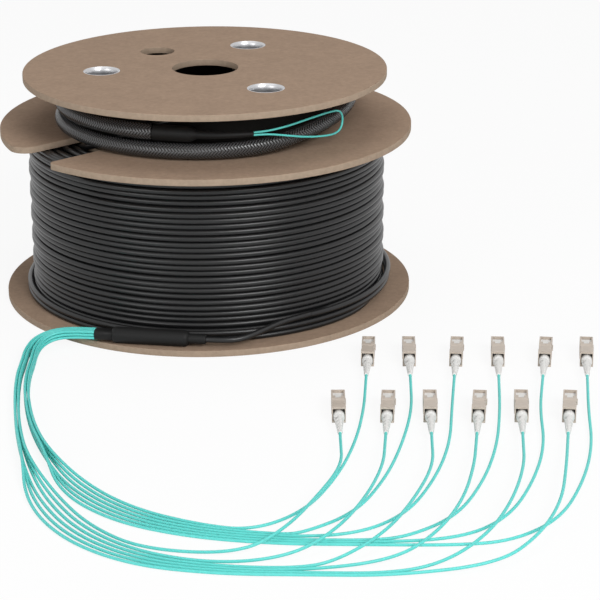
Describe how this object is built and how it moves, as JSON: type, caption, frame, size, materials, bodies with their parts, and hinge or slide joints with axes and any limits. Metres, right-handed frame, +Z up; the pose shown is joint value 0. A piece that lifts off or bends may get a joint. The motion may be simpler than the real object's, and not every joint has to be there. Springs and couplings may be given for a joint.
{
  "type": "fibre trunk cable on drum",
  "caption": "Black fibre trunk cable wound on a two-chamber fibreboard drum, with a fanout, aqua legs with white-booted beige push-pull connectors and a braided pulling sleeve with an aqua loop",
  "frame": {"origin": "centre of the underside of the bottom board, on the drum's axis; underside at z = 0", "axes": "+Z up along the drum's axis; -Y towards the side where the fanout lies and the legs come off; +X to the right seen from there"},
  "size_m": [0.3446, 0.5273, 0.1393],
  "materials": {
    "board": "matte fibreboard with fine speckle",
    "barrel_card": "matte wound card",
    "tube_steel": "bright zinc-plated tube",
    "cable_black": "semi-gloss black jacket",
    "fanout_black": "matte black moulding",
    "braid_black": "woven black monofilament",
    "aqua_jacket": "satin aqua jacket",
    "frame_white": "satin white moulding",
    "crimp_metal": "plain metal",
    "spring_steel": "spring steel",
    "boot_white": "satin white elastomer",
    "grip_beige": "satin beige moulding",
    "zirconia": "polished white ceramic"
  },
  "bodies": {
    "drum": {"bottom_flange": "board", "middle_flange": "board", "top_flange": "board", "winding_barrel": "barrel_card", "upper_barrel": "barrel_card", "tie_tubes": "tube_steel", "trunk_winding": "cable_black", "trunk_tail": "cable_black", "fanout_body": "fanout_black", "fanout_leg_boot": "fanout_black", "fanout_cable_boot": "fanout_black", "pulling_sleeve": "braid_black", "pulling_end": "fanout_black", "pull_loop": "aqua_jacket", "sleeve_lead": "cable_black", "leg_01": "aqua_jacket", "leg_02": "aqua_jacket", "leg_03": "aqua_jacket", "leg_04": "aqua_jacket", "leg_05": "aqua_jacket", "leg_06": "aqua_jacket", "leg_07": "aqua_jacket", "leg_08": "aqua_jacket", "leg_09": "aqua_jacket", "leg_10": "aqua_jacket", "leg_11": "aqua_jacket", "leg_12": "aqua_jacket", "plug_frames": "frame_white", "crimp_bodies": "crimp_metal", "ferrule_springs": "spring_steel", "boots": "boot_white"},
    "grip_01": {"grip_01": "grip_beige"},
    "ferrule_01": {"ferrule_01": "zirconia"},
    "grip_02": {"grip_02": "grip_beige"},
    "ferrule_02": {"ferrule_02": "zirconia"},
    "grip_03": {"grip_03": "grip_beige"},
    "ferrule_03": {"ferrule_03": "zirconia"},
    "grip_04": {"grip_04": "grip_beige"},
    "ferrule_04": {"ferrule_04": "zirconia"},
    "grip_05": {"grip_05": "grip_beige"},
    "ferrule_05": {"ferrule_05": "zirconia"},
    "grip_06": {"grip_06": "grip_beige"},
    "ferrule_06": {"ferrule_06": "zirconia"},
    "grip_07": {"grip_07": "grip_beige"},
    "ferrule_07": {"ferrule_07": "zirconia"},
    "grip_08": {"grip_08": "grip_beige"},
    "ferrule_08": {"ferrule_08": "zirconia"},
    "grip_09": {"grip_09": "grip_beige"},
    "ferrule_09": {"ferrule_09": "zirconia"},
    "grip_10": {"grip_10": "grip_beige"},
    "ferrule_10": {"ferrule_10": "zirconia"},
    "grip_11": {"grip_11": "grip_beige"},
    "ferrule_11": {"ferrule_11": "zirconia"},
    "grip_12": {"grip_12": "grip_beige"},
    "ferrule_12": {"ferrule_12": "zirconia"}
  },
  "joints": [
    {"name": "grip_slide_01", "type": "slide", "parent": "drum", "child": "grip_01", "axis": [-0.0384, -0.9993, 0], "range_m": [0, 0.0012]},
    {"name": "ferrule_slide_01", "type": "slide", "parent": "drum", "child": "ferrule_01", "axis": [-0.0384, -0.9993, 0], "range_m": [0, 0.001], "stiffness_N_per_m": 300, "deforming": ["ferrule_springs"]},
    {"name": "grip_slide_02", "type": "slide", "parent": "drum", "child": "grip_02", "axis": [-0.1115, -0.9938, 0], "range_m": [0, 0.0012]},
    {"name": "ferrule_slide_02", "type": "slide", "parent": "drum", "child": "ferrule_02", "axis": [-0.1115, -0.9938, 0], "range_m": [0, 0.001], "stiffness_N_per_m": 300},
    {"name": "grip_slide_03", "type": "slide", "parent": "drum", "child": "grip_03", "axis": [-0.0802, -0.9968, 0], "range_m": [0, 0.0012]},
    {"name": "ferrule_slide_03", "type": "slide", "parent": "drum", "child": "ferrule_03", "axis": [-0.0802, -0.9968, 0], "range_m": [0, 0.001], "stiffness_N_per_m": 300},
    {"name": "grip_slide_04", "type": "slide", "parent": "drum", "child": "grip_04", "axis": [-0.153, -0.9882, 0], "range_m": [0, 0.0012]},
    {"name": "ferrule_slide_04", "type": "slide", "parent": "drum", "child": "ferrule_04", "axis": [-0.153, -0.9882, 0], "range_m": [0, 0.001], "stiffness_N_per_m": 300},
    {"name": "grip_slide_05", "type": "slide", "parent": "drum", "child": "grip_05", "axis": [-0.1201, -0.9928, 0], "range_m": [0, 0.0012]},
    {"name": "ferrule_slide_05", "type": "slide", "parent": "drum", "child": "ferrule_05", "axis": [-0.1201, -0.9928, 0], "range_m": [0, 0.001], "stiffness_N_per_m": 300},
    {"name": "grip_slide_06", "type": "slide", "parent": "drum", "child": "grip_06", "axis": [-0.1805, -0.9836, 0], "range_m": [0, 0.0012]},
    {"name": "ferrule_slide_06", "type": "slide", "parent": "drum", "child": "ferrule_06", "axis": [-0.1805, -0.9836, 0], "range_m": [0, 0.001], "stiffness_N_per_m": 300},
    {"name": "grip_slide_07", "type": "slide", "parent": "drum", "child": "grip_07", "axis": [-0.1028, -0.9947, 0], "range_m": [0, 0.0012]},
    {"name": "ferrule_slide_07", "type": "slide", "parent": "drum", "child": "ferrule_07", "axis": [-0.1028, -0.9947, 0], "range_m": [0, 0.001], "stiffness_N_per_m": 300},
    {"name": "grip_slide_08", "type": "slide", "parent": "drum", "child": "grip_08", "axis": [-0.0715, -0.9974, 0], "range_m": [0, 0.0012]},
    {"name": "ferrule_slide_08", "type": "slide", "parent": "drum", "child": "ferrule_08", "axis": [-0.0715, -0.9974, 0], "range_m": [0, 0.001], "stiffness_N_per_m": 300},
    {"name": "grip_slide_09", "type": "slide", "parent": "drum", "child": "grip_09", "axis": [-0.1426, -0.9898, 0], "range_m": [0, 0.0012]},
    {"name": "ferrule_slide_09", "type": "slide", "parent": "drum", "child": "ferrule_09", "axis": [-0.1426, -0.9898, 0], "range_m": [0, 0.001], "stiffness_N_per_m": 300},
    {"name": "grip_slide_10", "type": "slide", "parent": "drum", "child": "grip_10", "axis": [-0.1149, -0.9934, 0], "range_m": [0, 0.0012]},
    {"name": "ferrule_slide_10", "type": "slide", "parent": "drum", "child": "ferrule_10", "axis": [-0.1149, -0.9934, 0], "range_m": [0, 0.001], "stiffness_N_per_m": 300},
    {"name": "grip_slide_11", "type": "slide", "parent": "drum", "child": "grip_11", "axis": [-0.184, -0.9829, 0], "range_m": [0, 0.0012]},
    {"name": "ferrule_slide_11", "type": "slide", "parent": "drum", "child": "ferrule_11", "axis": [-0.184, -0.9829, 0], "range_m": [0, 0.001], "stiffness_N_per_m": 300},
    {"name": "grip_slide_12", "type": "slide", "parent": "drum", "child": "grip_12", "axis": [-0.153, -0.9882, 0], "range_m": [0, 0.0012]},
    {"name": "ferrule_slide_12", "type": "slide", "parent": "drum", "child": "ferrule_12", "axis": [-0.153, -0.9882, 0], "range_m": [0, 0.001], "stiffness_N_per_m": 300}
  ]
}
